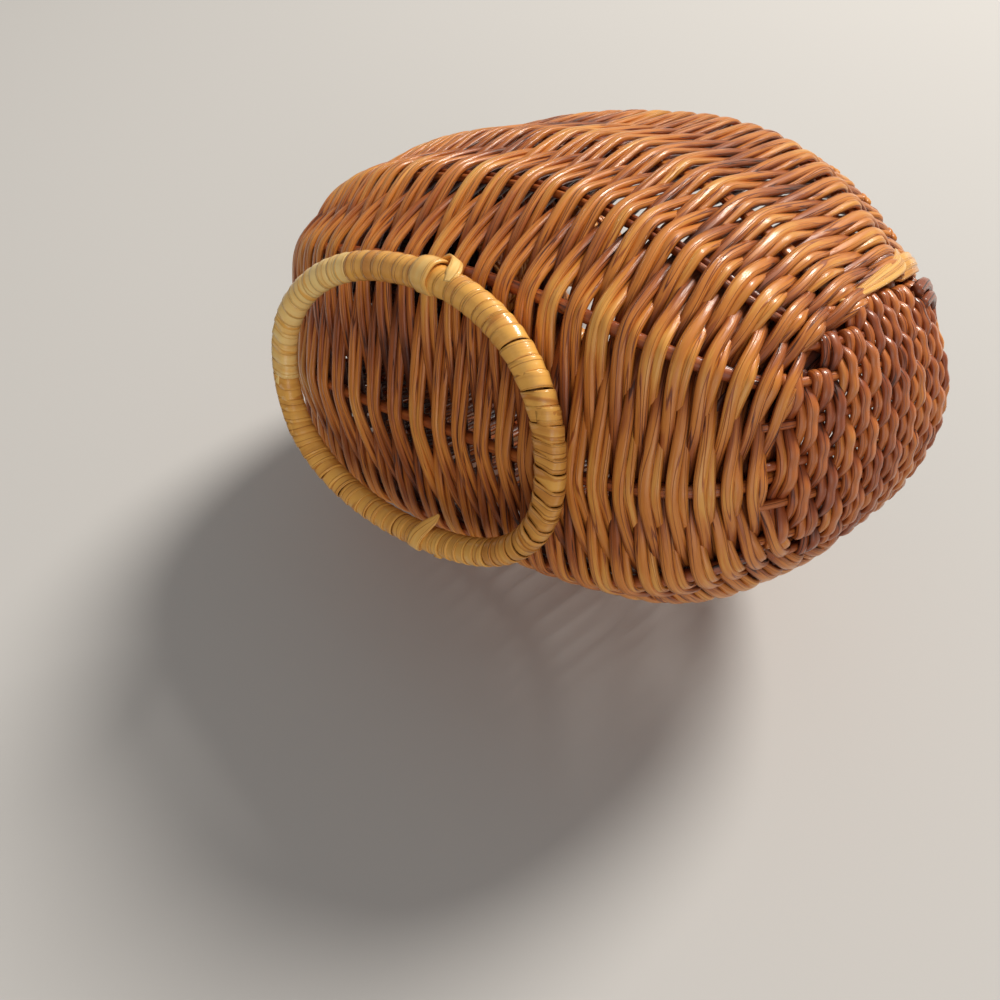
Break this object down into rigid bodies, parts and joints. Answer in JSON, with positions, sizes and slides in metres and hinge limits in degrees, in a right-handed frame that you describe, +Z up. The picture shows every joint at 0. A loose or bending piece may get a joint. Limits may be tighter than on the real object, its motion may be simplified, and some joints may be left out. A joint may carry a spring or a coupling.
{
  "type": "duck-shaped basket",
  "caption": "Small wicker basket in the shape of a duck, woven on lengthwise ribs, open on its back, on a cane-bound oval foot ring.",
  "frame": {"origin": "on the ground, below the middle of the whole basket's box", "axes": "+X from the rump to the bill, +Z up from the foot ring to the head"},
  "size_m": [0.229, 0.1162, 0.1885],
  "materials": {
    "reed": "varnished reddish brown wicker rods",
    "rib_reed": "varnished dark brown reed",
    "cane": "glossy golden cane",
    "bill_wood": "varnished wood",
    "bead": "glossy black bead"
  },
  "bodies": {
    "root": {"woven_body": "reed", "woven_rump": "reed", "woven_breast": "reed", "woven_neck": "reed", "woven_head": "reed", "keel_rib": "rib_reed", "lower_rib_left": "rib_reed", "lower_rib_right": "rib_reed", "middle_rib_left": "rib_reed", "middle_rib_right": "rib_reed", "upper_rib_left": "rib_reed", "upper_rib_right": "rib_reed", "shoulder_rib_left": "rib_reed", "shoulder_rib_right": "rib_reed", "rim_hoop": "rib_reed", "hoop_tie": "cane", "foot_ring_rod": "cane", "foot_ring_binding": "cane", "foot_tie_left": "cane", "foot_tie_right": "cane", "bill_upper": "bill_wood", "bill_lower": "bill_wood", "eye_left": "bead", "eye_right": "bead"}
  },
  "joints": []
}
